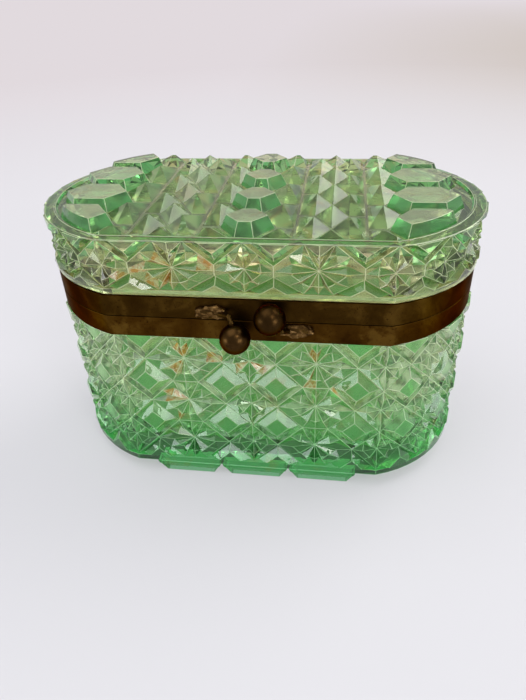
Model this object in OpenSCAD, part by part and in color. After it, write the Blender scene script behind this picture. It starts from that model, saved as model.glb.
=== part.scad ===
// Pressed-glass casket box: a faceted glass base and lid, each cemented into a brass band,
// hinged at the back and closed at the front by a pair of ball-ended snap arms.
// The plan has a straight front and back and two bowed ends. Its outline is the outside of
// the brass bands, and every other wall lies a named depth inside that line.
// +X is to the right, +Y to the back, +Z up, and the feet stand on z = 0.

/* [Plan] */
// Length over the bowed ends of the bands
box_length = 150; // [144:1:158]
// Depth from the front face of the bands to the back face
box_depth = 86; // [82:1:90]
// How far each bowed end bulges past the straight front
end_bow = 29.75; // [28:0.25:32]

/* [Heights] */
// Height of the feet under the glass
foot_height = 5.5; // [4:0.5:8]
// Height of the base's glass from its bottom edge to the lower band
base_wall = 58.4; // [54:0.2:62]
// Height of each brass band
band_height = 7.2; // [6:0.2:9]
// Opening line between the two bands
seam_gap = 0.3; // [0.2:0.05:0.6]
// Height of the lid's glass from the upper band to its rim line
lid_wall = 19; // [17:0.5:22]
// Height of the raised facets on top of the lid, above its rim line
crown_height = 3.2; // [2:0.2:4.5]

/* [Glass] */
// Depth of the glass's highest facets behind the face of the bands
face_inset = 0.7; // [0.5:0.1:1]
// Depth of the lines between two cells of the pattern
border_inset = 1.6; // [1.3:0.1:1.9]
// Depth of the cut grooves
groove_inset = 2.9; // [2.4:0.1:3]
// Depth of the plain neck that stands in a band
neck_inset = 3.2; // [3.1:0.1:3.6]
// Depth of the smooth inner wall
inner_inset = 7.2; // [6.6:0.2:8.4]
// Thickness of the base's floor
floor_thickness = 5.5; // [4:0.5:8]
// Thickness of the lid's top under the raised facets
roof_thickness = 4.4; // [3:0.2:6]
// Rounding of the inner corners
inner_round = 6; // [3:0.5:9]
// Height of the plain beads that close the pattern off
bead_height = 1.9; // [1.4:0.1:2.4]
// Height of the plain bead under the base's pattern
plinth_height = 3; // [2:0.2:4]
// Depth of the rim line round the top of the lid
rim_inset = 3; // [2.4:0.2:4]
// Width of the raised rim line
rim_width = 0.7; // [0.5:0.1:1]
// How much further the glass bulges at the bowed ends than the bands do
end_swell = 1.5; // [0:0.25:2]

/* [Pattern] */
// Width of a button's flat top as a share of its cell
button_flat = 0.46; // [0.36:0.02:0.6]
// Where a button's bevel ends, as a share of its cell
button_foot = 0.86; // [0.8:0.02:0.92]
// Where a petal is highest, as a share of its length
petal_crest = 0.6; // [0.45:0.05:0.75]
// Rows of buttons up the base, counting the half rows at the edges as one
button_rows = 3; // [2:1:4]
// Gap between the points of the lid's upper and lower half buttons
lid_button_gap = 3.6; // [2:0.2:6]
// Height of the small notch in the top of the lid's wide daisies
notch_height = 4; // [3:0.5:6]

/* [Feet] */
// Width of a foot where it leaves the glass
foot_width = 24.6; // [20:0.2:25]
// Width of a foot on the ground
foot_tip = 18.4; // [12:0.2:19]
// Distance between the centres of two feet
foot_pitch = 25.4; // [25.2:0.2:27]
// Size of a foot from front to back
foot_depth = 9; // [7:0.5:14]

/* [Brass] */
// Thickness of the band's upright wall
band_wall = 1; // [0.7:0.1:1.3]
// Thickness of the flange that covers the glass at the opening
flange_thickness = 0.8; // [0.6:0.1:1.2]
// Depth of the flange's inner edge behind the face of the band
flange_inset = 6.9; // [6.2:0.1:8.4]
// Gap that is left between cement, brass and glass
seat_gap = 0.1; // [0.05:0.05:0.2]

/* [Hinge] */
// Outer radius of the hinge barrel
barrel_radius = 2.2; // [1.9:0.1:2.6]
// Radius of the hinge pin
pin_radius = 1; // [0.8:0.1:1.2]
// Clearance of the pin in the lid's knuckles
pin_clearance = 0.06; // [0.03:0.01:0.09]
// Clearance of the pin in the base's knuckles
pin_seat = 0.02; // [0.01:0.01:0.03]
// Length of one knuckle with its share of the gaps
knuckle_pitch = 8; // [6:0.5:10]
// Gap between two knuckles
knuckle_gap = 0.3; // [0.2:0.05:0.5]
// Gap between the barrel and the bands
barrel_gap = 0.35; // [0.3:0.05:0.6]
// Thickness of a hinge leaf
leaf_thickness = 0.8; // [0.6:0.1:1.1]
// Height of a hinge leaf against its band
leaf_height = 5.6; // [4:0.2:6]

/* [Clasp] */
// Diameter of the two clasp balls
ball_diameter = 9.8; // [8:0.2:10.4]
// Gap between a ball and the band behind it
ball_gap = 0.6; // [0.4:0.1:1.2]
// Distance between the centres of the balls along the front
ball_spacing = 11; // [11:0.2:14]
// Height of the base's ball above the opening line
upper_ball_rise = 4; // [3.4:0.2:5]
// Drop of the lid's ball below the opening line
lower_ball_drop = 3.4; // [3:0.2:4.4]
// Where the middle of the clasp stands, to the right of the centre line
clasp_middle = 2.9; // [-4:0.1:4]
// Length of an arm's soldered foot
arm_foot = 7; // [5:0.5:9]
// Distance from a ball's centre to the near end of its arm's foot
arm_reach = 4.4; // [4:0.2:6]
// Distance of the middle of an arm's foot from the opening line
arm_offset = 2.6; // [2:0.2:3.4]
// Height of an arm's strip
arm_height = 2.2; // [1.4:0.2:2.6]
// Thickness of an arm's strip
arm_thickness = 1.2; // [0.9:0.1:1.5]
// Radius of the rod that runs from an arm's foot into its ball
rod_radius = 0.8; // [0.7:0.1:1]
// How far a rod enters its ball
rod_seat = 3; // [2:0.5:4]
// Clearance of a rod in its ball
rod_clearance = 0.05; // [0.02:0.01:0.08]

/* [Hidden] */

GLASS = [0.56, 0.78, 0.5, 0.7];
BRASS = [0.4, 0.27, 0.13];
CEMENT = [0.86, 0.83, 0.76];

// The plan: straight half length, half depth, and the circle that each bowed end follows
half_front = box_length / 2 - end_bow;
half_depth = box_depth / 2;
end_radius = bow_radius(0);
end_centre = bow_centre(0);

// The levels, from the ground up
z_glass = foot_height;
z_base_band = z_glass + base_wall;
z_opening = z_base_band + band_height;
z_lid_band = z_opening + seam_gap;
z_lid_glass = z_lid_band + band_height;
z_rim = z_lid_glass + lid_wall;
z_crown = z_rim + crown_height;
z_hinge = z_opening + seam_gap / 2;
// The lid's field between the crown's facets, under the rim line
z_field = z_rim - 1.2;

// The pattern: half pitches round the outline and up the wall
front_steps = 5;
end_steps = 12;
half_steps = 2 * front_steps + end_steps;
z_base_low = z_glass + plinth_height;
z_base_high = z_base_band - 1.2;
rise = (z_base_high - z_base_low) / (2 * button_rows);
z_lid_low = z_lid_glass + bead_height;
z_lid_high = z_rim - 0.9;
bead_inset = face_inset + 0.2;
cap_inset = 6;

// Steps along half of the outline: the other half is the same, turned by 180 degrees
buttons = concat([-4, -1, 1, 4], [for (i = [1 : 2 : end_steps - 1]) front_steps + i]);
narrow_daisies = concat([0], [for (i = [0 : 2 : end_steps]) front_steps + i]);
wide_daisies = [-2.5, 2.5];

// The hinge's and the clasp's places
y_hinge = half_depth + barrel_gap + barrel_radius;
hinge_length = 5 * knuckle_pitch;
head_radius = pin_radius + 0.6;
head_length = 0.9;
ball_radius = ball_diameter / 2;
y_ball = -half_depth - ball_gap - ball_radius;
z_lid_ball = z_hinge - lower_ball_drop;
z_base_ball = z_hinge + upper_ball_rise;
lid_ball = [clasp_middle - ball_spacing / 2, y_ball, z_lid_ball];
base_ball = [clasp_middle + ball_spacing / 2, y_ball, z_base_ball];
// Where each arm bends and which way its rod leaves its ball, seen from the ball's centre
function unit(v) = v / norm(v);
lid_bend = ball_radius * [-0.39, 0.45, 1.38];
lid_way = unit([-0.15, 0.1, 1]);
base_bend = ball_radius * [0.7, 0.5, -1.15];
base_way = unit([0.6, 0.65, -1]);

// The origin is under the middle of the whole piece, balls and hinge included
y_origin = ((y_hinge + barrel_radius) + (y_ball - ball_radius)) / 2;

// ---------------------------------------------------------------- the plan

// The circle of a bowed end, for a wall that bulges further than the bands by a swell
function bow_radius(swell) =
    let (bow = end_bow + swell) (half_depth * half_depth + bow * bow) / (2 * bow);
function bow_centre(swell) = half_front + end_bow + swell - bow_radius(swell);

// Where the straight front of a wall ends, and the angle of that corner round the bow's centre
function corner_x(d, swell) =
    bow_centre(swell) + sqrt(pow(bow_radius(swell) - d, 2) - pow(half_depth - d, 2));
function corner_angle(d, swell) = asin((half_depth - d) / (bow_radius(swell) - d));

// A point of the plan: u in half pitches of the pattern from the middle of the front, depth d
function on_plan(u, d, swell) =
    let (
        turn = floor((u + front_steps) / half_steps),
        v = u - half_steps * turn,
        way = abs(turn) % 2 == 0 ? 1 : -1,
        radius = bow_radius(swell) - d,
        angle = (2 * (v - front_steps) / end_steps - 1) * corner_angle(d, swell),
        p = v <= front_steps
            ? [v / front_steps * corner_x(d, swell), d - half_depth]
            : [bow_centre(swell) + radius * cos(angle), radius * sin(angle)]
    ) way * p;

// Corners lie on a grid of this many lines to a millimetre, so that neighbouring facets share them
function snapped(p) = let (lines = 8192) [for (c = p) round(c * lines) / lines];

// The outline of a wall that lies depth d inside the face of the bands
module outline(d) {
    intersection() {
        square([box_length + 1, 2 * (half_depth - d)], center = true);
        union() {
            square([2 * end_centre, 2 * (half_depth - d)], center = true);
            for (side = [-1, 1])
                translate([side * end_centre, 0]) circle(r = end_radius - d, $fn = 120);
        }
    }
}

module slab(d, low, high) {
    translate([0, 0, low]) linear_extrude(height = high - low) outline(d);
}

// A solid whose outline changes with height: [[depth, height, swell], ...], upward
module stacked(levels) {
    steps = [for (turn = [0, half_steps], i = [0 : 2 * end_steps]) front_steps + i / 2 + turn];
    n = len(steps);
    polyhedron(
        points = [for (l = levels, u = steps) snapped([each on_plan(u, l[0], l[2]), l[1]])],
        faces = concat(
            [[for (i = [0 : n - 1]) i]],
            [for (k = [0 : len(levels) - 2], i = [0 : n - 1])
                let (j = (i + 1) % n, a = k * n)
                each [[a + i, a + n + i, a + j], [a + j, a + n + i, a + n + j]]],
            [[for (i = [n - 1 : -1 : 0]) (len(levels) - 1) * n + i]]
        )
    );
}

module in_place() {
    translate([0, -y_origin, 0]) children();
}

// ---------------------------------------------------------------- the pressed pattern

// A point of the relief: step u, height z, depth d
function on_wall(u, z, d) = snapped([each on_plan(u, d, end_swell), z]);

// How much less deep a flat's side corners lie on a bowed end, so that the flat is a plane
function flat_lift(u) =
    let (v = u - half_steps * floor((u + front_steps) / half_steps))
    v <= front_steps ? 0
    : bow_radius(end_swell) * (1 / cos(button_flat * 2 * corner_angle(0, end_swell) / end_steps) - 1);

function quad(a, b, c, d) = [[a, b, c], [a, c, d]];
function flip(faces) = [for (f = faces) [f[0], f[2], f[1]]];

// The corners of a button at one share of its cell: right, top, left, bottom
function diamond(u, z, up, share, d, lift = 0) = [
    [u + share, z, d - lift], [u, z + share * up, d], [u - share, z, d - lift], [u, z - share * up, d]
];

// Facets between two diamonds, outer one first
function frame(outer, inner, sides) = [
    for (i = sides) let (j = (i + 1) % 4) each quad(outer[i], outer[j], inner[j], inner[i])
];
// The same with a corner in the middle of each outer side, where a petal of a daisy ends
function split_frame(outer, inner, sides) = [
    for (i = sides) let (j = (i + 1) % 4, middle = (outer[i] + outer[j]) / 2)
        each [[outer[i], middle, inner[i]], [middle, inner[j], inner[i]], [middle, outer[j], inner[j]]]
];

// A whole button, or its upper or lower half: the sides count from the right one to the top
function button(u, z, up, sides = [0, 1, 2, 3]) =
    let (
        edge = diamond(u, z, up, 1, border_inset),
        foot = diamond(u, z, up, button_foot, groove_inset),
        flat = diamond(u, z, up, button_flat, face_inset, flat_lift(u)),
        middle = [u, z, face_inset]
    ) concat(
        split_frame(edge, foot, sides),
        frame(foot, flat, sides),
        [for (i = sides) [flat[i], flat[(i + 1) % 4], middle]]
    );

// A daisy: petals run from its centre to each point of its border, with a cut groove between
// two petals. A border entry is [point] or [point, corner that follows it].
function daisy(u, z, border) =
    let (n = len(border), centre = [u, z, groove_inset])
    [for (i = [0 : n - 1])
        let (
            q = border[i][0],
            r = border[(i + 1) % n][0],
            corner = border[i][1],
            crest_q = along([u, z], q, petal_crest, face_inset + 0.25),
            crest_r = along([u, z], r, petal_crest, face_inset + 0.25),
            cut = along([u, z], (q + r) / 2, petal_crest + 0.12, groove_inset),
            edge_q = [q[0], q[1], border_inset],
            edge_r = [r[0], r[1], border_inset]
        )
        each concat(
            [[centre, crest_q, cut], [centre, cut, crest_r]],
            [[crest_q, edge_q, cut], [cut, edge_r, crest_r]],
            is_undef(corner) ? [[cut, edge_q, edge_r]]
            : [[cut, edge_q, [corner[0], corner[1], border_inset]],
               [cut, [corner[0], corner[1], border_inset], edge_r]]
        )
    ];

function along(from, to, share, d) = [
    from[0] + share * (to[0] - from[0]), from[1] + share * (to[1] - from[1]), d
];

// The borders of the daisies, from the right-hand point and anticlockwise
function diamond_border(u, z, up) = [
    for (p = [[1, 0], [0.5, 0.5], [0, 1], [-0.5, 0.5], [-1, 0], [-0.5, -0.5], [0, -1], [0.5, -0.5]])
        [[u + p[0], z + p[1] * up]]
];
function wide_border(u, z, up) = [
    for (p = [[1.5, 0], [1, 0.5], [0.5, 1], [0, 1], [-0.5, 1], [-1, 0.5],
              [-1.5, 0], [-1, -0.5], [-0.5, -1], [0, -1], [0.5, -1], [1, -0.5]])
        [[u + p[0], z + p[1] * up]]
];

// The wall's cells between two half rows of buttons, turned round both halves of the plan
function base_cells() = [
    for (turn = [0, 1], row = [0 : button_rows])
        let (z = z_base_low + 2 * row * rise, first = row == 0, last = row == button_rows)
        each concat(
            [for (b = buttons)
                each button(b + turn * half_steps, z, rise,
                            first ? [0, 1] : last ? [2, 3] : [0, 1, 2, 3])],
            last ? [] : [for (n = narrow_daisies)
                each daisy(n + turn * half_steps, z + rise,
                           diamond_border(n + turn * half_steps, z + rise, rise))],
            last ? [] : [for (w = wide_daisies)
                each daisy(w + turn * half_steps, z + rise,
                           wide_border(w + turn * half_steps, z + rise, rise))]
        )
];

// The lid has one row of daisies between half buttons whose points stop short of each other
z_lid_daisy = (z_lid_low + z_lid_high) / 2 - 1;
z_lid_up = z_lid_daisy - lid_button_gap / 2;
z_lid_down = z_lid_daisy + lid_button_gap / 2;
function middle_of(a, b) = (a + b) / 2;
function lid_narrow_border(u) =
    let (
        top = [u, z_lid_high], foot = [u, z_lid_low],
        ru = [u + 1, z_lid_down], rl = [u + 1, z_lid_up],
        lu = [u - 1, z_lid_down], ll = [u - 1, z_lid_up]
    ) [
        [[u + 1, z_lid_daisy], ru], [middle_of(ru, top)], [top],
        [middle_of(lu, top), lu], [[u - 1, z_lid_daisy], ll],
        [middle_of(ll, foot)], [foot], [middle_of(rl, foot), rl]
    ];
function lid_wide_border(u) =
    let (
        ru = [u + 1.5, z_lid_down], rl = [u + 1.5, z_lid_up],
        lu = [u - 1.5, z_lid_down], ll = [u - 1.5, z_lid_up],
        rt = [u + 0.5, z_lid_high], lt = [u - 0.5, z_lid_high],
        rb = [u + 0.5, z_lid_low], lb = [u - 0.5, z_lid_low]
    ) [
        [[u + 1.5, z_lid_daisy], ru], [middle_of(ru, rt)], [rt],
        [[u, z_lid_high - notch_height]], [lt],
        [middle_of(lu, lt), lu], [[u - 1.5, z_lid_daisy], ll], [middle_of(ll, lb)], [lb],
        [[u, z_lid_low]], [rb], [middle_of(rl, rb), rl]
    ];
function lid_notch(u) =
    let (
        right = [u + 0.5, z_lid_high, border_inset],
        left = [u - 0.5, z_lid_high, border_inset],
        middle = [u, z_lid_high, face_inset],
        tip = [u, z_lid_high - notch_height, border_inset]
    ) [[middle, left, tip], [middle, tip, right]];
function lid_cells() = [
    for (turn = [0, half_steps])
        each concat(
            [for (b = buttons) each concat(
                button(b + turn, z_lid_low, z_lid_up - z_lid_low, [0, 1]),
                button(b + turn, z_lid_high, z_lid_high - z_lid_down, [2, 3]))],
            [for (n = narrow_daisies) each daisy(n + turn, z_lid_daisy, lid_narrow_border(n + turn))],
            [for (w = wide_daisies) each concat(
                daisy(w + turn, z_lid_daisy, lid_wide_border(w + turn)), lid_notch(w + turn))]
        )
];

// The line along which a half row is cut, as [step, depth], once round the outline
function cut_line(notched = false) = [
    for (turn = [0, half_steps])
        each concat(
            [for (b = buttons) each [
                [b - 1 + turn, border_inset],
                [b - button_foot + turn, groove_inset],
                [b - button_flat + turn, face_inset - flat_lift(b)],
                [b + turn, face_inset],
                [b + button_flat + turn, face_inset - flat_lift(b)],
                [b + button_foot + turn, groove_inset],
                each b == -4 || b == 1 ? [
                    [b + 1 + turn, border_inset],
                    [b + 1.5 + turn, notched ? face_inset : border_inset]
                ] : []
            ]]
        )
];

// Facets that close a cut line off with a flat disc, at the height z
function disc(line, z) =
    let (n = len(line))
    [for (i = [0 : n - 1]) let (j = (i + 1) % n)
        each concat(
            quad([line[i][0], z, line[i][1]], [line[j][0], z, line[j][1]],
                 [line[j][0], z, cap_inset], [line[i][0], z, cap_inset]),
            [[[line[i][0], z, cap_inset], [line[j][0], z, cap_inset], [0, z, half_depth]]]
        )
    ];
// Facets that carry a cut line straight up from one height to another
function skirt(line, low, high) =
    let (n = len(line))
    [for (i = [0 : n - 1]) let (j = (i + 1) % n)
        each quad([line[i][0], low, line[i][1]], [line[j][0], low, line[j][1]],
                  [line[j][0], high, line[j][1]], [line[i][0], high, line[i][1]])
    ];

// A solid from facets whose corners are [step, height, depth]
module from_facets(facets) {
    points = [for (f = facets, c = f) c[2] == half_depth ? [0, 0, c[1]] : on_wall(c[0], c[1], c[2])];
    polyhedron(points = points, faces = [for (i = [0 : len(facets) - 1]) [3 * i, 3 * i + 2, 3 * i + 1]]);
}

module base_relief() {
    line = cut_line();
    from_facets(concat(
        base_cells(), skirt(line, z_base_high, z_base_band - 0.2),
        disc(line, z_base_band - 0.2), flip(disc(line, z_base_low))
    ));
}

module lid_relief() {
    from_facets(concat(
        lid_cells(), disc(cut_line(notched = true), z_lid_high), flip(disc(cut_line(), z_lid_low))
    ));
}

// ---------------------------------------------------------------- the glass

// The smooth hollow of the base or the lid, rounded where its wall meets the floor
module hollow(mouth, bottom) {
    way = mouth > bottom ? 1 : -1;
    bend = [for (a = [90 : -18 : 0])
        [inner_inset + inner_round * (1 - cos(a)), bottom + way * inner_round * (1 - sin(a)), 0]];
    levels = concat(bend, [[inner_inset, mouth, 0]]);
    stacked(way > 0 ? levels : [for (i = [len(levels) - 1 : -1 : 0]) levels[i]]);
}

// A moulded foot: a pad that narrows toward the ground, under a plate with sloping ends
module foot(x, y) {
    plate = 1.2;
    lip = 0.3;
    slope = 1.2;
    film = 0.1;
    hull() {
        translate([x, y, z_glass]) cube([foot_width, foot_depth, 4 * film], center = true);
        translate([x, y, z_glass - plate])
            cube([foot_width - 4 * lip, foot_depth, film], center = true);
    }
    hull() {
        translate([x, y, z_glass - plate])
            cube([foot_width - 6 * lip, foot_depth - 2 * lip, 4 * film], center = true);
        translate([x, y, film / 2]) cube([foot_tip, foot_depth - 2 * slope, film], center = true);
    }
}

module base_glass() {
    color(GLASS) difference() {
        union() {
            base_relief();
            stacked([[bead_inset + 0.7, z_glass, end_swell], [bead_inset, z_glass + 0.7, end_swell],
                     [bead_inset, z_base_low, end_swell], [neck_inset, z_base_low, 0],
                     [neck_inset, z_opening - flange_thickness - seat_gap, 0]]);
            for (x = [-1, 0, 1], side = [-1, 1])
                foot(x * foot_pitch, side * (half_depth - bead_inset - 0.2 - foot_depth / 2));
        }
        hollow(z_opening, z_glass + floor_thickness);
    }
}

// The crown: columns of the pattern as shares of the straight front's half length, and rows
// at quarters of the depth inside the rim line
row_pitch = 2 * (half_depth - rim_inset) / 4;
near_groove = 0.325 * half_front;
far_groove = 0.8 * half_front;
near_peak = 0.22 * half_front;
far_peak = 0.905 * half_front;
field_middle = (near_groove + far_groove) / 2;
field_step = (far_groove - near_groove) / 4;
lozenge_reach = 9.75;
lozenge_x = half_front + lozenge_reach;
crown_margin = 2.8;
// How much lower the sharp peaks end than the flat-topped facets
peak_drop = 0.3;
// Half sizes of the flat-topped facets: width in the middle, width at the ends, length
hexagon_flat = [6.4, 2, 5.4];
hexagon_base = [8.6, 3, 8];
lozenge_flat = [10.5, 5.2, 7.4];
lozenge_base = [12.4, 6.2, 9.4];
// How far the peaks beside them keep off
peak_gap = 0.4;

// A peak over a base outline, or a flat-topped facet if it has a flat outline
module raised(base, flat, top) {
    hull() {
        translate([0, 0, z_field - 0.5]) linear_extrude(height = 0.5) polygon(base);
        translate([0, 0, top - 0.02]) linear_extrude(height = 0.02) polygon(flat);
    }
}

function six(x, y, size) = [
    [x + size[0], y], [x + size[1], y + size[2]], [x - size[1], y + size[2]],
    [x - size[0], y], [x - size[1], y - size[2]], [x + size[1], y - size[2]]
];

module flat_topped(x, y, base, flat) {
    raised(six(x, y, base), six(x, y, flat), z_crown);
}

module peak(x, y, base) {
    raised(base, six(x, y, [0.12, 0.06, 0.12]), z_crown - peak_drop);
}

// A peak that fills the wedge between a straight groove and two flat-topped facets
module wedge(groove, y, x, inner, tip) {
    half_row = row_pitch / 2;
    peak(x, y, [[groove, y - half_row], [groove, y + half_row],
                [inner, y + half_row], [tip, y], [inner, y - half_row]]);
}

module crown() {
    half_row = row_pitch / 2;
    for (row = [-1.5 : 1 : 1.5]) {
        y = row * row_pitch;
        flat_topped(0, y, hexagon_base, hexagon_flat);
        for (side = [-1, 1]) {
            flat_topped(side * lozenge_x, y, lozenge_base, lozenge_flat);
            // The two columns of peaks that stand against the straight grooves
            for (k = [-1, 1]) {
                x = side * (field_middle + k * field_step);
                wall = side * (field_middle + 2 * k * field_step);
                peak(x, y, [[wall, y - half_row], [wall, y + half_row], [x, y + half_row],
                            [side * field_middle, y], [x, y - half_row]]);
            }
        }
    }
    for (row = [-2 : 1 : 2], side = [-1, 1]) {
        y = row * row_pitch;
        wedge(side * near_groove, y, side * near_peak,
              side * (hexagon_base[0] + peak_gap), side * (hexagon_base[1] - peak_gap));
        peak(side * field_middle, y,
             [[side * (field_middle - field_step), y], [side * field_middle, y + half_row],
              [side * (field_middle + field_step), y], [side * field_middle, y - half_row]]);
        wedge(side * far_groove, y, side * far_peak,
              side * (lozenge_x - lozenge_base[0] - peak_gap), side * (lozenge_x - lozenge_base[1]));
    }
}

module lid_glass() {
    color(GLASS) difference() {
        union() {
            lid_relief();
            stacked([[neck_inset, z_lid_band + flange_thickness + seat_gap, 0],
                     [neck_inset, z_lid_glass + seat_gap, 0],
                     [bead_inset, z_lid_glass + seat_gap, end_swell], [bead_inset, z_lid_low, end_swell],
                     [neck_inset, z_lid_low, 0], [neck_inset, z_lid_high, 0],
                     [bead_inset, z_lid_high, end_swell], [bead_inset + 0.3, z_lid_high + 0.2, end_swell],
                     [rim_inset - 0.1, z_rim - 0.35, 0], [rim_inset, z_rim, 0],
                     [rim_inset + rim_width, z_rim, 0], [rim_inset + 2 * rim_width, z_field, 0]]);
            intersection() {
                crown();
                stacked([[rim_inset + 2 * rim_width, z_field - 0.6, 0],
                         [rim_inset + 2 * rim_width, z_field, 0],
                         [rim_inset + crown_margin, z_crown + 0.1, 0]]);
            }
        }
        hollow(z_lid_band, z_rim - roof_thickness - 1.2);
    }
}

// ---------------------------------------------------------------- the brass mounts

// A band: an upright wall with a flange over the glass's edge at the opening
module base_band() {
    color(BRASS) difference() {
        slab(0, z_base_band, z_opening);
        slab(band_wall, z_base_band - 1, z_opening - flange_thickness);
        slab(flange_inset, z_base_band - 1, z_opening + 1);
    }
}

module lid_band() {
    color(BRASS) difference() {
        slab(0, z_lid_band, z_lid_glass);
        slab(band_wall, z_lid_band + flange_thickness, z_lid_glass + 1);
        slab(flange_inset, z_lid_band - 1, z_lid_glass + 1);
    }
}

// The cement that holds a glass neck in its band
module cement(low, high) {
    color(CEMENT) difference() {
        slab(band_wall + seat_gap, low, high);
        slab(neck_inset - seat_gap, low - 1, high + 1);
    }
}

module base_cement() {
    cement(z_base_band + 0.4, z_opening - flange_thickness - seat_gap);
}

module lid_cement() {
    cement(z_lid_band + flange_thickness + seat_gap, z_lid_glass - 0.4);
}

// ---------------------------------------------------------------- the hinge

// Knuckle number n of five along the barrel, with its leaf up or down against its band
module knuckle(n, leaf_way, clearance) {
    x = (n - 2) * knuckle_pitch;
    length = knuckle_pitch - knuckle_gap;
    color(BRASS) difference() {
        union() {
            translate([x - length / 2, y_hinge, z_hinge])
                rotate([0, 90, 0]) cylinder(r = barrel_radius, h = length, $fn = 48);
            translate([x - length / 2, half_depth,
                       z_hinge + (leaf_way < 0 ? -seam_gap / 2 - leaf_height : seam_gap / 2)])
                cube([length, leaf_thickness, leaf_height]);
        }
        translate([x - length, y_hinge, z_hinge])
            rotate([0, 90, 0]) cylinder(r = pin_radius + clearance, h = 2 * length, $fn = 48);
    }
}

module hinge_pin() {
    color(BRASS) translate([0, y_hinge, z_hinge]) rotate([0, 90, 0]) {
        cylinder(r = pin_radius, h = hinge_length, center = true, $fn = 48);
        for (side = [-1, 1])
            translate([0, 0, side * (hinge_length + head_length) / 2])
                cylinder(r = head_radius, h = head_length, center = true, $fn = 48);
    }
}

// ---------------------------------------------------------------- the clasp

// A round rod through a row of points, with a knee at each bend
module rod(points, radius) {
    knee = 0.06;
    for (i = [0 : len(points) - 2]) {
        run = points[i + 1] - points[i];
        translate(points[i]) rotate([0, acos(run[2] / norm(run)), atan2(run[1], run[0])])
            cylinder(r = radius, h = norm(run), $fn = 32);
    }
    if (len(points) > 2) for (i = [1 : len(points) - 2])
        translate(points[i]) sphere(r = radius + knee, $fn = 32);
}

// An arm: a foot soldered to its band, and a rod that bends forward and runs into the ball.
// side is the way from the ball to the foot, and rise the foot's height above the ball.
module clasp_arm(ball, side, rise, bend, way) {
    neck = 0.7;
    y_face = -half_depth - ball[1];
    color(BRASS) translate(ball) {
        translate([side * (arm_reach + arm_foot / 2), y_face - arm_thickness / 2, rise])
            cube([arm_foot, arm_thickness, arm_height], center = true);
        rod([[side * (arm_reach + rod_radius), y_face - rod_radius - seat_gap, rise], bend,
             way * (ball_radius + neck), way * (ball_radius - rod_seat)], rod_radius);
    }
}

module clasp_ball(ball, way) {
    color(BRASS) translate(ball) difference() {
        sphere(r = ball_radius, $fn = 72);
        rod([way * (ball_radius - rod_seat - seat_gap), way * (ball_radius + 1)], rod_radius + rod_clearance);
    }
}

module lid_clasp_arm() clasp_arm(lid_ball, -1, z_hinge + arm_offset - z_lid_ball, lid_bend, lid_way);
module lid_clasp_ball() clasp_ball(lid_ball, lid_way);
module base_clasp_arm() clasp_arm(base_ball, 1, z_hinge - arm_offset - z_base_ball, base_bend, base_way);
module base_clasp_ball() clasp_ball(base_ball, base_way);

// ---------------------------------------------------------------- the nodes

in_place() base_glass();
in_place() base_cement();
in_place() base_band();
in_place() lid_glass();
in_place() lid_cement();
in_place() lid_band();
in_place() knuckle(0, -1, pin_seat);  // base_knuckle_left
in_place() knuckle(2, -1, pin_seat);  // base_knuckle_middle
in_place() knuckle(4, -1, pin_seat);  // base_knuckle_right
in_place() knuckle(1, 1, pin_clearance);  // lid_knuckle_left
in_place() knuckle(3, 1, pin_clearance);  // lid_knuckle_right
in_place() hinge_pin();
in_place() lid_clasp_arm();
in_place() lid_clasp_ball();
in_place() base_clasp_arm();
in_place() base_clasp_ball();
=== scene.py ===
"""Looks of a pressed-glass casket box: green glass, old brass mounts and a ball clasp.

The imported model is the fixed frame. Each sub-assembly is a class that takes its place from the
frame's nodes, builds its own meshes over them and dresses them. Lengths are in metres wherever
nothing else is said.
"""

import logging
import math
from collections import Counter
from dataclasses import dataclass, field, replace
from enum import Enum

import bmesh
import bpy
from mathutils import Matrix, Vector, noise


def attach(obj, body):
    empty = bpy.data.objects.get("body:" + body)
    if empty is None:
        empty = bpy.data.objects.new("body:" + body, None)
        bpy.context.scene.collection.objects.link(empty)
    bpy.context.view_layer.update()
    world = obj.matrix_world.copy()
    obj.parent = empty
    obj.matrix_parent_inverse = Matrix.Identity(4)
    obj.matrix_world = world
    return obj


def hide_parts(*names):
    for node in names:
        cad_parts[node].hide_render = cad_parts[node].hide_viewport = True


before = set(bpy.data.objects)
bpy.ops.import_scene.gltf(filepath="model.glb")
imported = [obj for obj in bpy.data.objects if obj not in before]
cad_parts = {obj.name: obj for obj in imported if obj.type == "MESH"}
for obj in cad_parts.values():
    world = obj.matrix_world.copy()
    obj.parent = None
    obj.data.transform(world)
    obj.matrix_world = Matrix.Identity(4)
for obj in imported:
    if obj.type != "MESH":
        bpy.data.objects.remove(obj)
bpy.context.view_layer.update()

log = logging.getLogger("casket")

MM = 0.001

Colour = tuple[float, float, float]
Place = tuple[float, float, float]
Range = tuple[float, float]
Socket = bpy.types.NodeSocket


class Body(str, Enum):
    """The two bodies that the hinge joins."""

    BASE = "base"
    LID = "lid"


class Slot(str, Enum):
    """The record's material slots for new pieces, not assigned here. The cement keeps its own."""

    GLASS = "green_glass"
    BRASS = "brass"


class Finish(int, Enum):
    """The finishes of the glass, by their places in a shell's list of materials."""

    # Some finishes hold painted light: ridge highlights, shade on button flats, light on the
    # bottom row, a sky reflection on flat tops
    FACET = 0
    RIDGE = 1
    GROOVE = 2
    DEEP = 3
    AMBER = 4
    LOW = 5
    INNER = 6
    FOOT = 7
    FLAT_TOP = 8


class Fold(Enum):
    """Which way an edge folds, with the finish that its rounding takes."""

    ANY = None
    RIDGE = Finish.RIDGE
    GROOVE = Finish.GROOVE


# ------------------------------------------------------------------ small helpers

MERGE_DISTANCE = 0.03 * MM
DEGENERATE_LENGTH = 0.02 * MM
FLAT_ANGLE = math.radians(0.4)

# A rounded edge is so many widths long, and so are its neighbours. Grooves have their own limit
LEAST_EDGE = 2.2
LEAST_NEIGHBOUR = 1.3
LEAST_NEIGHBOUR_OF_GROOVE = 0.06 * MM

FLAT_FACE_WEIGHT = 80


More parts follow.
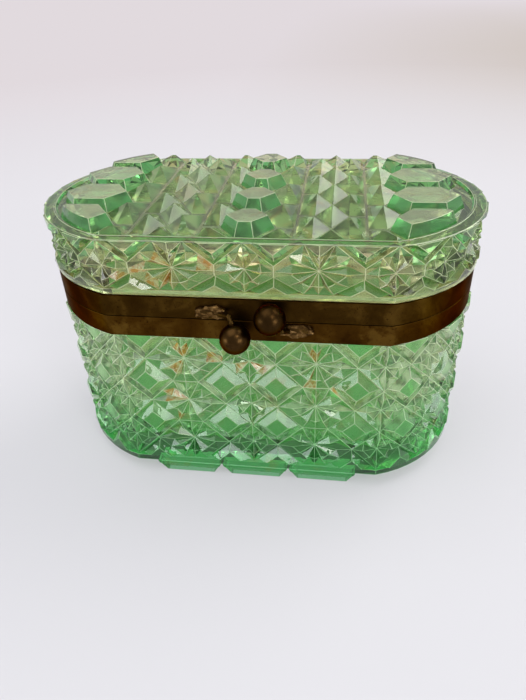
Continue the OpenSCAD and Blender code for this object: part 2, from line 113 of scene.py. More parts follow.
def deselect() -> None:
    """Leaves object mode and nothing selected."""
    if bpy.context.object and bpy.context.object.mode != "OBJECT":
        bpy.ops.object.mode_set(mode="OBJECT")
    bpy.ops.object.select_all(action="DESELECT")


def make_active(piece: bpy.types.Object) -> None:
    """Selects one object alone and makes it the active one.

    Args:
        piece: The object.
    """
    deselect()
    piece.select_set(True)
    bpy.context.view_layer.objects.active = piece


def copy_of_node(node: str, name: str) -> bpy.types.Object:
    """Copies a CAD node's mesh into a new object with its doubles merged.

    Args:
        node: The CAD node to copy.
        name: The new object's name.

    Returns:
        The new object, at the origin.
    """
    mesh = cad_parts[node].data.copy()
    mesh.name = name
    mesh.materials.clear()
    piece = bpy.data.objects.new(name, mesh)
    bpy.context.scene.collection.objects.link(piece)
    make_active(piece)
    if mesh.has_custom_normals:
        bpy.ops.mesh.customdata_custom_splitnormals_clear()
    bpy.ops.object.mode_set(mode="EDIT")
    bpy.ops.mesh.select_all(action="SELECT")
    bpy.ops.mesh.remove_doubles(threshold=MERGE_DISTANCE)
    bpy.ops.mesh.dissolve_degenerate(threshold=DEGENERATE_LENGTH)
    bpy.ops.mesh.dissolve_limited(angle_limit=FLAT_ANGLE)
    bpy.ops.object.mode_set(mode="OBJECT")
    return piece


def can_be_rounded(edge: bmesh.types.BMEdge, width: float, fold: Fold) -> bool:
    """Tells whether an edge and its neighbours are long enough for a clean rounding.

    Args:
        edge: The edge.
        width: How far the rounding reaches from it.
        fold: The kind of edge that is being rounded.

    Returns:
        Whether it can be rounded.
    """
    if not edge.is_manifold or edge.calc_length() < LEAST_EDGE * width:
        return False
    shortest = min(other.calc_length() for corner in edge.verts for other in corner.link_edges)
    return shortest >= (LEAST_NEIGHBOUR_OF_GROOVE if fold is Fold.GROOVE
                        else LEAST_NEIGHBOUR * width)


def soften_edges(piece: bpy.types.Object, width: float, least_angle: float, segments: int = 2,
                 fold: Fold = Fold.ANY) -> None:
    """Rounds every edge that is sharp enough.

    Args:
        piece: The object to work on.
        width: How far the rounding reaches from the edge.
        least_angle: The fold, in radians, from which an edge is rounded.
        segments: Faces across the rounding.
        fold: Ridges or grooves alone, whose rounding then takes their own material.
    """
    make_active(piece)
    bpy.ops.object.mode_set(mode="EDIT")
    bpy.ops.mesh.select_all(action="DESELECT")
    bpy.ops.mesh.select_mode(type="EDGE")
    work = bmesh.from_edit_mesh(piece.data)
    for edge in work.edges:
        if can_be_rounded(edge, width, fold):
            turn = edge.calc_face_angle_signed(0)
            wanted = {Fold.ANY: abs(turn), Fold.RIDGE: turn, Fold.GROOVE: -turn}[fold]
            edge.select_set(wanted > least_angle)
    bmesh.update_edit_mesh(piece.data)
    bpy.ops.mesh.bevel(offset=width, segments=segments, profile=0.5, affect="EDGES",
                       clamp_overlap=fold is not Fold.RIDGE,
                       material=-1 if fold is Fold.ANY else int(fold.value))
    bpy.ops.object.mode_set(mode="OBJECT")


def smooth(piece: bpy.types.Object, angle: float, *rounded: Finish) -> None:
    """Shades the faces smooth up to an angle, and keeps large flat faces flat.

    Args:
        piece: The object to shade.
        angle: The fold, in radians, past which an edge stays sharp.
        *rounded: Finishes of roundings, which are smooth across whatever their fold.
    """
    make_active(piece)
    bpy.ops.object.shade_smooth_by_angle(angle=angle)
    work = bmesh.new()
    work.from_mesh(piece.data)
    for edge in work.edges:
        if rounded and all(face.material_index in rounded for face in edge.link_faces):
            edge.smooth = True
    work.to_mesh(piece.data)
    work.free()
    weighted = piece.modifiers.new("flat faces stay flat", "WEIGHTED_NORMAL")
    weighted.mode = "FACE_AREA"
    weighted.weight = FLAT_FACE_WEIGHT
    weighted.keep_sharp = True
    bpy.ops.object.modifier_apply(modifier=weighted.name)


def put_on(piece: bpy.types.Object, body: Body, slot: Slot, *replaced: str) -> bpy.types.Object:
    """Gives a finished and dressed piece its body and the nodes that it stands for.

    Args:
        piece: The finished piece.
        body: The body that it rides on.
        slot: The record's material slot; not used.
        *replaced: CAD nodes that the piece replaces.

    Returns:
        The same piece.
    """
    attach(piece, body.value)
    if replaced:
        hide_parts(*replaced)
    log.info("%s: %d faces on %s", piece.name, len(piece.data.polygons), body.value)
    return piece


# ------------------------------------------------------------------ where the glass's faces lie

# The plan of the glass in millimetres: its half depth, and the circle of the bowed ends
PLAN_SHIFT = 2.825
HALF_DEPTH = 43.0
BOW_RADIUS = 45.209
BOW_CENTRE = 31.291

# The limits of each kind of face, in millimetres. LEAN, UPRIGHT and LEVEL limit the Z of its
# normal and FACING the Y. CROWN_GAP is the part of the crown that has no flat tops, measured from
# the middle plane
BUTTON_ROWS = (8.7, 62.5)
BUTTON_DEPTH = 0.85
UPRIGHT = (-0.05, 0.05)
RIM_BUTTONS = (88.0, 96.5)
RIM_BUTTON_DEPTH = 2.6
RIM_BUTTON_LEAN = (-0.6, -0.3)
CROWN_ABOVE = 96.9
CROWN_DEPTH = 4.6
CROWN_LEAN = (0.1, 0.55)
CROWN_GAP = (9.0, 42.0)
FLAT_TOPS_ABOVE = 99.0
LEVEL = 0.985
HOLLOW_DEPTH = 4.0
HOLLOW_FACING = 0.2
LEAST_HOLLOW_AREA = 1.0
LOW_BELOW = 19.0
LOW_DEPTH = 7.0
FEET_BELOW = 8.3
INSIDE = (9.0, 96.0)
INSIDE_DEPTH = 6.5

# Middles of the facets that old dirt has turned amber, as x and z in millimetres on the front,
# and how far from them a facet still turns amber
AMBER_REACH = 1.9
AMBER_FACETS = (
    (-27.1, 90.6), (-31.0, 88.0), (-13.2, 88.7), (-39.8, 84.8), (-24.0, 83.6), (-29.6, 83.4),
    (-34.0, 87.0), (-22.2, 58.3), (-24.9, 50.4), (-11.3, 54.9), (-28.9, 38.0), (-24.9, 38.6),
    (-26.8, 28.7), (-3.9, 51.6), (4.4, 52.1), (15.2, 52.8), (21.9, 58.8), (20.4, 47.4),
    (21.6, 35.6), (29.7, 43.7), (34.0, 21.1), (53.8, 43.2),
)


def within(value: float, limits: Range) -> bool:
    """Tells whether a value lies between two limits.

    Args:
        value: The value.
        limits: The lower and the upper limit.

    Returns:
        Whether it lies strictly between them.
    """
    return limits[0] < value < limits[1]


def wall_depth(place: Vector) -> float:
    """Measures how far a point lies inside the glass's outermost outline.

    Args:
        place: The point.

    Returns:
        The depth in millimetres.
    """
    across = abs(place.y / MM - PLAN_SHIFT)
    along = abs(place.x / MM) - BOW_CENTRE
    return min(HALF_DEPTH - across, BOW_RADIUS - math.hypot(max(along, 0.0), across))


class FaceSite:
    """Where a face of the glass lies, in millimetres, and which way it faces."""

    def __init__(self, face: bpy.types.MeshPolygon) -> None:
        """Measures the face.

        Args:
            face: A face of the glass.
        """
        self.along = face.center.x / MM
        self.across = face.center.y / MM
        self.height = face.center.z / MM
        self.depth = wall_depth(face.center)
        self.facing = face.normal.y
        self.lean = face.normal.z
        self.area = face.area / (MM * MM)

    @property
    def is_deep(self) -> bool:
        """Whether it's the flat of a button, on the base or the lid, or the side of a flat top."""
        # These faces take painted shade, a deeper green
        on_button = (within(self.height, BUTTON_ROWS) and within(self.lean, UPRIGHT)
                     and self.depth < BUTTON_DEPTH)
        under_rim = (within(self.height, RIM_BUTTONS) and within(self.lean, RIM_BUTTON_LEAN)
                     and self.depth < RIM_BUTTON_DEPTH)
        round_flat_top = (self.height > CROWN_ABOVE and within(self.lean, CROWN_LEAN)
                          and self.depth > CROWN_DEPTH
                          and not CROWN_GAP[0] <= abs(self.along) <= CROWN_GAP[1])
        return on_button or under_rim or round_flat_top

    @property
    def is_flat_top(self) -> bool:
        """Whether it's level and on top of the lid."""
        return self.height > FLAT_TOPS_ABOVE and self.lean > LEVEL

    @property
    def is_amber(self) -> bool:
        """Whether it's a hollow facet of the front, near one of the amber marks."""
        hollow = (self.across < 0.0 and self.depth < HOLLOW_DEPTH
                  and self.facing < HOLLOW_FACING and self.area > LEAST_HOLLOW_AREA)
        return hollow and any(
            math.hypot(self.along - along, self.height - height) < AMBER_REACH
            for along, height in AMBER_FACETS)

    @property
    def is_low(self) -> bool:
        """Whether it belongs to the bottom row or to a foot."""
        return self.height < LOW_BELOW and self.depth < LOW_DEPTH

    @property
    def is_inside(self) -> bool:
        """Whether it belongs to the inside."""
        return within(self.height, INSIDE) and self.depth > INSIDE_DEPTH

    def finish(self, made: Finish) -> Finish:
        """Chooses the face's finish.

        Args:
            made: The finish that the face has from its making.

        Returns:
            The finish of its place.
        """
        if self.is_inside:
            return Finish.INNER
        chosen = made
        # Painted shade on the button flats and a painted reflection on the flat tops
        if made is Finish.FACET:
            if self.is_deep:
                chosen = Finish.DEEP
            elif self.is_flat_top:
                chosen = Finish.FLAT_TOP
            elif self.is_amber:
                chosen = Finish.AMBER
        # The bottom row takes painted light, a milkier green; the feet keep plain glass
        if chosen in (Finish.FACET, Finish.DEEP) and self.is_low:
            chosen = Finish.LOW if self.height > FEET_BELOW else Finish.FOOT
        return chosen


# ------------------------------------------------------------------ node trees

# How far a ragged edge strays and where it starts to fade, as shares of its reach
RAGGED_STRAY = 3.0
RAGGED_CORE = 0.45

# The colour sockets of a Mix node, whose names are shared with its other kinds of socket
MIX_COLOUR_A = 6
MIX_COLOUR_B = 7
MIX_COLOUR_RESULT = 2


@dataclass(frozen=True)
class Grain:
    """The settings of a noise.

    Attributes:
        scale: Patches in a metre.
        detail: Octaves.
        roughness: Strength of the finer octaves.
        distortion: How far the pattern is warped.
    """

    scale: float
    detail: float = 3.0
    roughness: float = 0.5
    distortion: float = 0.0


class NodeTree:
    """A node tree with short calls for the nodes that the finishes and the studio use."""

    def __init__(self, tree: bpy.types.NodeTree, output: str) -> None:
        """Empties a tree and gives it an output.

        Args:
            tree: The tree.
            output: The output node's type without its ShaderNode prefix.
        """
        self.tree = tree
        self.tree.nodes.clear()
        self.output = self.add(output)

    def add(self, kind: str, **values: object) -> bpy.types.Node:
        """Adds a node.

        Args:
            kind: The node's type without its ShaderNode prefix.
            **values: Properties of the node by name.

        Returns:
            The new node.
        """
        node = self.tree.nodes.new("ShaderNode" + kind)
        for key, value in values.items():
            setattr(node, key, value)
        return node

    def make(self, kind: str, **sockets: object) -> bpy.types.Node:
        """Adds a node with values set straight on its sockets.

        Args:
            kind: The node's type without its ShaderNode prefix.
            **sockets: Socket names with underscores for spaces, and their values.

        Returns:
            The new node.
        """
        node = self.add(kind)
        for key, value in sockets.items():
            node.inputs[key.replace("_", " ")].default_value = value
        return node

    def link(self, source: Socket, target: Socket) -> None:
        """Joins two sockets.

        Args:
            source: The output.
            target: The input.
        """
        self.tree.links.new(source, target)

    def feed(self, target: Socket, value: Socket | float) -> None:
        """Links an input to a socket or sets it to a number.

        Args:
            target: The input.
            value: The socket or the number.
        """
        if isinstance(value, (int, float)):
            target.default_value = value
        else:
            self.link(value, target)

    def surface(self, shader: bpy.types.Node) -> None:
        """Puts a shader on the output's surface.

        Args:
            shader: The shader node, whose first output is taken.
        """
        self.link(shader.outputs[0], self.output.inputs["Surface"])

    def place(self) -> Socket:
        """Returns the object coordinates."""
        return self.add("TexCoord").outputs["Object"]

    def coordinate(self, axis: str) -> Socket:
        """Picks one of the object coordinates.

        Args:
            axis: Its letter, X, Y or Z.

        Returns:
            The coordinate.
        """
        parts = self.add("SeparateXYZ")
        self.link(self.place(), parts.inputs["Vector"])
        return parts.outputs[axis]

    def distance_from_middle(self) -> Socket:
        """Returns the distance from the object's middle plane, along its X axis."""
        return self.math("ABSOLUTE", self.coordinate("X"), 0.0)

    def near(self, spot: Place, reach: float, ragged: Socket) -> Socket:
        """Masks the surroundings of one spot with a ragged edge.

        Args:
            spot: The middle of the mask.
            reach: Its radius.
            ragged: A noise that breaks the edge up.

        Returns:
            1 at the spot and 0 past its reach.
        """
        distance = self.add("VectorMath", operation="DISTANCE")
        self.link(self.place(), distance.inputs[0])
        distance.inputs[1].default_value = spot
        stray = self.math("MULTIPLY", self.math("SUBTRACT", ragged, 0.5), reach * RAGGED_STRAY)
        far = self.math("ADD", distance.outputs["Value"], stray)
        return self.span(far, (reach, reach * RAGGED_CORE))

    def noise(self, grain: Grain) -> Socket:
        """Adds a noise on the object's own coordinates.

        Args:
            grain: Its settings.

        Returns:
            The factor of the noise, about 0.3 to 0.7.
        """
        node = self.make("TexNoise", Scale=grain.scale, Detail=grain.detail,
                           Roughness=grain.roughness, Distortion=grain.distortion)
        self.link(self.place(), node.inputs["Vector"])
        return node.outputs["Fac"]

    def ramp(self, source: Socket, stops: list[tuple[float, Colour]]) -> Socket:
        """Maps a value to a colour.

        Args:
            source: The value.
            stops: Positions and linear colours.

        Returns:
            The colour.
        """
        node = self.add("ValToRGB")
        elements = node.color_ramp.elements
        while len(elements) < len(stops):
            elements.new(0.5)
        for element, (position, colour) in zip(elements, stops):
            element.position = position
            element.color = (*colour, 1.0)
        self.link(source, node.inputs["Fac"])
        return node.outputs["Color"]

    def span(self, source: Socket, limits: Range, result: Range = (0.0, 1.0)) -> Socket:
        """Maps one range of a value to another and clamps it there.

        Args:
            source: The value.
            limits: Where the range starts and ends.
            result: What its start and its end become.

        Returns:
            The mapped value.
        """
        node = self.make("MapRange", From_Min=limits[0], From_Max=limits[1],
                           To_Min=result[0], To_Max=result[1])
        self.link(source, node.inputs["Value"])
        return node.outputs["Result"]

    def math(self, operation: str, first: Socket | float, second: Socket | float) -> Socket:
        """Joins two values by a math operation.

        Args:
            operation: The operation's name in Blender.
            first: The first value.
            second: The second value, which is ignored by operations on one value.

        Returns:
            The result.
        """
        node = self.add("Math", operation=operation)
        self.feed(node.inputs[0], first)
        self.feed(node.inputs[1], second)
        return node.outputs["Value"]

    def mix(self, factor: Socket, first: Socket | Colour, second: Socket | Colour) -> Socket:
        """Mixes two colours.

        Args:
            factor: Share of the second colour.
            first: The first colour.
            second: The second colour.

        Returns:
            The mixed colour.
        """
        node = self.add("Mix", data_type="RGBA")
        self.link(factor, node.inputs["Factor"])
        for index, value in ((MIX_COLOUR_A, first), (MIX_COLOUR_B, second)):
            if isinstance(value, tuple):
                node.inputs[index].default_value = (*value, 1.0)
            else:
                self.link(value, node.inputs[index])
        return node.outputs[MIX_COLOUR_RESULT]

    def bump(self, height: Socket, strength: float, distance: float,
             before: Socket | None = None) -> Socket:
        """Adds a bump.

        Args:
            height: The height, 0 to 1.
            strength: Share of the full relief.
            distance: Height of the full relief.
            before: A bump that this one goes on top of.

        Returns:
            The normal.
        """
        node = self.make("Bump", Strength=strength, Distance=distance)
        self.link(height, node.inputs["Height"])
        if before is not None:
            self.link(before, node.inputs["Normal"])
        return node.outputs["Normal"]

    def blend(self, factor: Socket, first: bpy.types.Node,
              second: bpy.types.Node) -> bpy.types.Node:
        """Blends two shaders.

        Args:
            factor: Share of the second shader.
            first: The first shader.
            second: The second shader.

        Returns:
            The blending node.
        """
        node = self.add("MixShader")
        self.link(factor, node.inputs["Fac"])
        self.link(first.outputs[0], node.inputs[1])
        self.link(second.outputs[0], node.inputs[2])
        return node

    def is_ray(self, first: str, *others: str) -> Socket:
        """Tells some kinds of ray from the rest.

        Args:
            first: A kind of ray, as its socket of the Light Path node names it.
            *others: More kinds of ray.

        Returns:
            1 for rays of these kinds and 0 for the rest.
        """
        path = self.add("LightPath")
        found = path.outputs[f"Is {first} Ray"]
        for kind in others:
            found = self.math("MAXIMUM", found, path.outputs[f"Is {kind} Ray"])
        return found


class Shader(NodeTree):
    """A material's node tree."""

    def __init__(self, name: str) -> None:
        """Makes the material and empties its tree, apart from its output.

        Args:
            name: The material's name.
        """
        self.material = bpy.data.materials.new(name)
        self.material.use_nodes = True
        super().__init__(self.material.node_tree, "OutputMaterial")


# ------------------------------------------------------------------ finishes

# Heights over which one colour of the glass gives way to the next
WALL_FADE = (0.004, 0.040)
# BEAD_START and BEAD_END bound a painted highlight, a pale strip on the glass just above the band
BEAD_START = (0.0775, 0.0785)
BEAD_END = (0.0815, 0.0800)
LID_START = (0.0785, 0.0800)
CROWN_START = (0.0955, 0.0970)

# Distances from the middle plane over which the lid's wall turns greener
LID_BOWS = (0.044, 0.058)

GLASS_IOR = 1.52
# Painted highlight: the pale colour of that strip just above the band
BEAD_PAINTED_HIGHLIGHT = (0.86, 0.86, 0.52)
AMBER = (0.66, 0.23, 0.01)
FILM_GRAIN = Grain(95.0, 3.0, 0.55, 1.0)
FILM_EDGE = (0.585, 0.66)
FILM_SHARE = 0.6
STAIN_GRAIN = Grain(520.0, 3.0, 0.6, 0.6)
STAIN_EDGE = (0.42, 0.56)
WAVE_GRAIN = Grain(160.0, 2.0)
WAVE_STRENGTH = 0.6

# The dusty straight grooves across the top: places, edge of the dust, its share and its start
STRAIGHT_GROOVES = (14.7 * MM, 36.2 * MM)
DUST = (0.52, 0.38, 0.26)
DUST_EDGE = (0.0015, 0.0004)
DUST_SHARE = 0.6
DUST_START = (0.0955, 0.0962)


@dataclass(frozen=True)
class PressedGlass:
    """Green pressed glass: clear in its depth and slightly milky on its mould-marked skin.

    Attributes:
        name: The material's name.
        lower: The skin's colour at the thick bottom of the base.
        upper: The skin's colour high on the base's wall.
        lid: The skin's colour on the lid's wall.
        crown: The skin's colour on top of the lid.
        clearness: Share of the light that goes through the skin.
        roughness: Softness of the fire-polished surface.
        waviness: Height of the slow waves on the facets.
        film: Strength of the amber film that has settled in places, 0 to 1.
        stain: Strength of the amber stains that break up a dirty facet, 0 to 1.
    """

    name: str
    lower: Colour = (0.06, 0.53, 0.10)
    upper: Colour = (0.50, 0.70, 0.36)
    lid: Colour = (0.66, 0.57, 0.32)
    crown: Colour = (0.30, 0.51, 0.16)
    clearness: float = 0.965
    roughness: float = 0.02
    waviness: float = 0.00024
    film: float = 0.55
    stain: float = 0.0

    def material(self) -> bpy.types.Material:
        """Builds the glass: its greens, a painted highlight above the band, its amber and dust."""
        shader = Shader(self.name)
        height = shader.coordinate("Z")
        colour = self._greens(shader, height)
        film = shader.span(shader.noise(FILM_GRAIN), FILM_EDGE)
        film = shader.math("MULTIPLY", shader.math("MULTIPLY", film, FILM_SHARE), self.film)
        colour = shader.mix(film, colour, AMBER)
        if self.stain:
            stains = shader.span(shader.noise(STAIN_GRAIN), STAIN_EDGE, (0.0, self.stain))
            colour = shader.mix(stains, colour, AMBER)
        colour = shader.mix(self._dust(shader, height), colour, DUST)
        glass = shader.make("BsdfPrincipled", Transmission_Weight=self.clearness,
                              IOR=GLASS_IOR, Roughness=self.roughness, Metallic=0.0)
        shader.link(colour, glass.inputs["Base Color"])
        waves = shader.bump(shader.noise(WAVE_GRAIN), WAVE_STRENGTH, self.waviness)
        shader.link(waves, glass.inputs["Normal"])
        shader.surface(glass)
        return shader.material

    def _greens(self, shader: Shader, height: Socket) -> Socket:
        """Stacks the glass's colours by height, with a painted highlight just above the band.

        Args:
            shader: The tree to build in.
            height: The height.

        Returns:
            The colour before any dirt.
        """
        wall = shader.mix(shader.span(height, WALL_FADE), self.lower, self.upper)
        bows = shader.span(shader.distance_from_middle(), LID_BOWS)
        lid = shader.mix(bows, self.lid, self.crown)
        colour = shader.mix(shader.span(height, LID_START), wall, lid)
        colour = shader.mix(shader.span(height, CROWN_START), colour, self.crown)
        # Painted highlight: a pale strip on the glass just above the band
        bead = shader.math("MULTIPLY", shader.span(height, BEAD_START),
                           shader.span(height, BEAD_END))
        return shader.mix(bead, colour, BEAD_PAINTED_HIGHLIGHT)

    @staticmethod
    def _dust(shader: Shader, height: Socket) -> Socket:
        """Masks the dusty straight grooves across the top of the lid.

        Args:
            shader: The tree to build in.
            height: The height.

        Returns:
            The share of dust.
        """
        side = shader.distance_from_middle()
        lines = []
        for groove in STRAIGHT_GROOVES:
            off = shader.math("ABSOLUTE", shader.math("SUBTRACT", side, groove), 0.0)
            lines.append(shader.span(off, DUST_EDGE, (0.0, DUST_SHARE)))
        dust = shader.math("MAXIMUM", *lines)
        return shader.math("MULTIPLY", dust, shader.span(height, DUST_START))


# The patina's clouds and specks: positions of its colours, edges and relief
CLOUD_GRAIN = Grain(1.0, 6.0, 0.62, 0.4)
CLOUD_STOPS = (0.30, 0.52, 0.95)
CLOUD_GLOSS = (0.38, 0.66)
CLOUD_RELIEF = (0.35, 0.00012)
SPECK_GRAIN = Grain(14.0, 3.0, 0.7)
SPECK_EDGE = (0.60, 0.68)
SPECK_RELIEF = (0.25, 0.00004)
# Painted highlights on the brass: the noise along their edge, and their share of the bare metal's
# colour
HIGHLIGHT_EDGE_GRAIN = Grain(260.0, 4.0, 0.6)
HIGHLIGHT_SHARE = 0.5


@dataclass(frozen=True)
class PaintedHighlightSpot:
    """A painted highlight: a spot painted in the bare metal's colour.

    Attributes:
        middle: Its middle.
        reach: Its radius.
    """

    middle: Place
    reach: float


@dataclass(frozen=True)
class OldBrass:
    """Sheet brass under a dark brown patina that is bare in places, with any painted highlights.

    Attributes:
        name: The material's name.
        dark: The thick patina.
        mid: The usual patina.
        rubbed_and_highlight: The bare metal that hands have polished, also the colour of painted
            highlights.
        rough_low: Roughness of the bare metal.
        rough_high: Roughness of the dull patina.
        grain: Clouds in a metre.
        painted_highlights: Painted highlights, spots painted in the bare metal's colour.
        edge_tint: The metal's colour at a glancing angle.
    """

    name: str
    dark: Colour = (0.022, 0.0095, 0.0016)
    mid: Colour = (0.040, 0.0195, 0.0030)
    rubbed_and_highlight: Colour = (0.16, 0.088, 0.015)
    rough_low: float = 0.32
    rough_high: float = 0.46
    grain: float = 90.0
    painted_highlights: tuple[PaintedHighlightSpot, ...] = ()
    edge_tint: Colour = (0.42, 0.33, 0.22)

    def material(self) -> bpy.types.Material:
        """Builds the patina of broad clouds and fine specks, and the painted highlights."""
        shader = Shader(self.name)
        clouds = shader.noise(replace(CLOUD_GRAIN, scale=self.grain * CLOUD_GRAIN.scale))
        specks = shader.noise(replace(SPECK_GRAIN, scale=self.grain * SPECK_GRAIN.scale))
        colour = shader.ramp(clouds, list(zip(CLOUD_STOPS, (self.dark, self.mid, self.rubbed_and_highlight))))
        # Painted highlights: spots painted in the bare metal's colour
        for spot in self.painted_highlights:
            near = shader.near(spot.middle, spot.reach, shader.noise(HIGHLIGHT_EDGE_GRAIN))
            colour = shader.mix(shader.math("MULTIPLY", near, HIGHLIGHT_SHARE), colour, self.rubbed_and_highlight)
        colour = shader.mix(shader.span(specks, SPECK_EDGE), colour, self.dark)
        metal = shader.make("BsdfPrincipled", Metallic=1.0,
                              Specular_Tint=(*self.edge_tint, 1.0))
        shader.link(colour, metal.inputs["Base Color"])
        rough = shader.span(clouds, CLOUD_GLOSS, (self.rough_high, self.rough_low))
        shader.link(rough, metal.inputs["Roughness"])
        relief = shader.bump(clouds, *CLOUD_RELIEF)
        relief = shader.bump(specks, *SPECK_RELIEF, before=relief)
        shader.link(relief, metal.inputs["Normal"])
        shader.surface(metal)
        return shader.material


PLASTER_GRAIN = Grain(300.0, 5.0, 0.6)
PLASTER_STOPS = (0.35, 0.65)
PLASTER_PORES = Grain(900.0, 4.0)
PORE_RELIEF = (0.5, 0.0001)


@dataclass(frozen=True)
class Plaster:
    """Dry plaster cement.

    Attributes:
        name: The material's name.
        colour: Its usual colour.
        shade: Its darker patches, as a share of that colour.
        roughness: Its roughness.
    """

    name: str
    colour: Colour = (0.62, 0.55, 0.40)
    shade: float = 0.7
    roughness: float = 0.9

    def material(self) -> bpy.types.Material:
        """Builds the dull, slightly grainy cement."""
        shader = Shader(self.name)
        darker = tuple(channel * self.shade for channel in self.colour)
        tone = shader.ramp(shader.noise(PLASTER_GRAIN),
                           list(zip(PLASTER_STOPS, (darker, self.colour))))
        body = shader.make("BsdfPrincipled", Roughness=self.roughness)
        shader.link(tone, body.inputs["Base Color"])
        pores = shader.bump(shader.noise(PLASTER_PORES), *PORE_RELIEF)
        shader.link(pores, body.inputs["Normal"])
        shader.surface(body)
        return shader.material


BASE_GLASS = {
    Finish.FACET: PressedGlass("green_glass_facets"),
    # Ridges: pale, milky roundings, partly frosted edges of the glass and partly painted
    # highlights along them
    Finish.RIDGE: PressedGlass(
        "green_glass_ridges_painted_highlight", lower=(0.18, 0.78, 0.26), upper=(0.84, 0.92, 0.64),
        lid=(0.78, 0.76, 0.48), crown=(0.74, 0.82, 0.54),
        clearness=0.64, roughness=0.18, film=0.35),
    Finish.GROOVE: PressedGlass(
        "green_glass_grooves", lower=(0.10, 0.52, 0.14), upper=(0.54, 0.60, 0.32),
        lid=(0.60, 0.50, 0.28), crown=(0.46, 0.44, 0.24),
        clearness=0.60, roughness=0.10, film=0.9),
    # Button flats and sides of the flat tops: painted shade, a deeper green for the dark green the
    # thick glass shows there
    Finish.DEEP: PressedGlass(
        "green_glass_deep_painted_shade", lower=(0.08, 0.60, 0.14), upper=(0.32, 0.72, 0.24),
        lid=(0.28, 0.62, 0.24), crown=(0.11, 0.44, 0.12), clearness=0.92, film=0.2),
    Finish.AMBER: PressedGlass(
        "green_glass_amber", lower=(0.60, 0.68, 0.30), upper=(0.84, 0.74, 0.42),
        lid=(0.84, 0.68, 0.38), crown=(0.84, 0.68, 0.38),
        clearness=0.70, roughness=0.10, film=0.0, stain=0.95),
    # Bottom row: painted light, a milkier, greener skin for light scattered down through the thick
    # bottom
    Finish.LOW: PressedGlass(
        "green_glass_low_painted_light", lower=(0.05, 0.56, 0.10), upper=(0.36, 0.78, 0.30),
        clearness=0.86, film=0.1),
    Finish.INNER: PressedGlass(
        "green_glass_inner", lower=(0.30, 0.80, 0.34), upper=(0.80, 0.90, 0.64),
        lid=(0.86, 0.86, 0.62), crown=(0.80, 0.90, 0.64),
        clearness=0.97, roughness=0.20, film=0.0),
    Finish.FOOT: PressedGlass(
        "green_glass_feet", lower=(0.07, 0.50, 0.12), upper=(0.34, 0.76, 0.30),
        clearness=0.95, waviness=0.0006, film=0.0),
    # Level tops of the crown: painted reflection, a paler skin for the bright sky that they
    # reflect
    Finish.FLAT_TOP: PressedGlass(
        "green_glass_flat_tops_painted_reflection", crown=(0.56, 0.63, 0.36),
        clearness=0.84, roughness=0.04, waviness=0.0004, film=0.4),
}
LID_GLASS = {
    **BASE_GLASS,
    # The lid's ridges carry the same painted highlights, a little milkier
    Finish.RIDGE: replace(
        BASE_GLASS[Finish.RIDGE], name="green_glass_lid_ridges_painted_highlight", clearness=0.60),
}

# The base band's two front corners have painted highlights
BASE_BAND_BRASS = OldBrass(
    "base_band_brass", dark=(0.024, 0.0085, 0.0014), mid=(0.056, 0.0245, 0.0030),
    painted_highlights=(PaintedHighlightSpot((42.0 * MM, -39.0 * MM, 66.0 * MM), 6.0 * MM),
          PaintedHighlightSpot((-41.0 * MM, -40.0 * MM, 66.5 * MM), 3.5 * MM)))
LID_BAND_BRASS = OldBrass("lid_band_brass")
FITTINGS_BRASS = OldBrass("fittings_brass", mid=(0.055, 0.030, 0.008), grain=160.0)
BALL_BRONZE = OldBrass(
    "ball_bronze", dark=(0.018, 0.0085, 0.0025), mid=(0.034, 0.017, 0.0050),
    rubbed_and_highlight=(0.12, 0.062, 0.020), rough_low=0.27, rough_high=0.35, grain=60.0,
    edge_tint=(0.60, 0.40, 0.20))
ROUGH_SOLDER = OldBrass(
    "rough_solder", dark=(0.030, 0.015, 0.004), mid=(0.13, 0.070, 0.022),
    rubbed_and_highlight=(0.62, 0.38, 0.15), rough_low=0.30, rough_high=0.6, grain=640.0)
PLASTER = Plaster("plaster_cement")


# ------------------------------------------------------------------ sub-assemblies

LEAST_RIDGE_ANGLE = math.radians(19)
LEAST_GROOVE_ANGLE = math.radians(12)
FACET_ANGLE = math.radians(9)


@dataclass
class GlassShell:
    """One pressed piece of glass, with the soft edges that the mould leaves.

    Attributes:
        node: The CAD node that it stands for.
        body: The body that it rides on.
        finishes: The glass of each finish.
        ridge: Width of the rounding along the ridges.
        groove: Width of the rounding along the grooves.
    """

    node: str
    body: Body
    finishes: dict[Finish, PressedGlass]
    ridge: float = 0.14 * MM
    groove: float = 0.15 * MM

    def build(self) -> bpy.types.Object:
        """Copies the node, rounds its ridges and grooves and dresses its faces."""
        glass = copy_of_node(self.node, "pressed_" + self.node)
        for finish in Finish:
            glass.data.materials.append(self.finishes[finish].material())
        soften_edges(glass, self.ridge, LEAST_RIDGE_ANGLE, fold=Fold.RIDGE)
        soften_edges(glass, self.groove, LEAST_GROOVE_ANGLE, fold=Fold.GROOVE)
        found = Counter()
        # Each face takes the finish of its place; some finishes are painted light, shade and
        # reflection
        for face in glass.data.polygons:
            finish = FaceSite(face).finish(Finish(face.material_index))
            face.material_index = finish.value
            found[finish.name] += 1
        log.info("%s: faces by finish %s", glass.name, dict(found))
        smooth(glass, FACET_ANGLE, Finish.RIDGE, Finish.GROOVE)
        return put_on(glass, self.body, Slot.GLASS, self.node)


SMALL_EDGE = 0.12 * MM
LEAST_BRASS_ANGLE = math.radians(30)
BRASS_SMOOTH_ANGLE = math.radians(35)
BRASS_SEGMENTS = 3


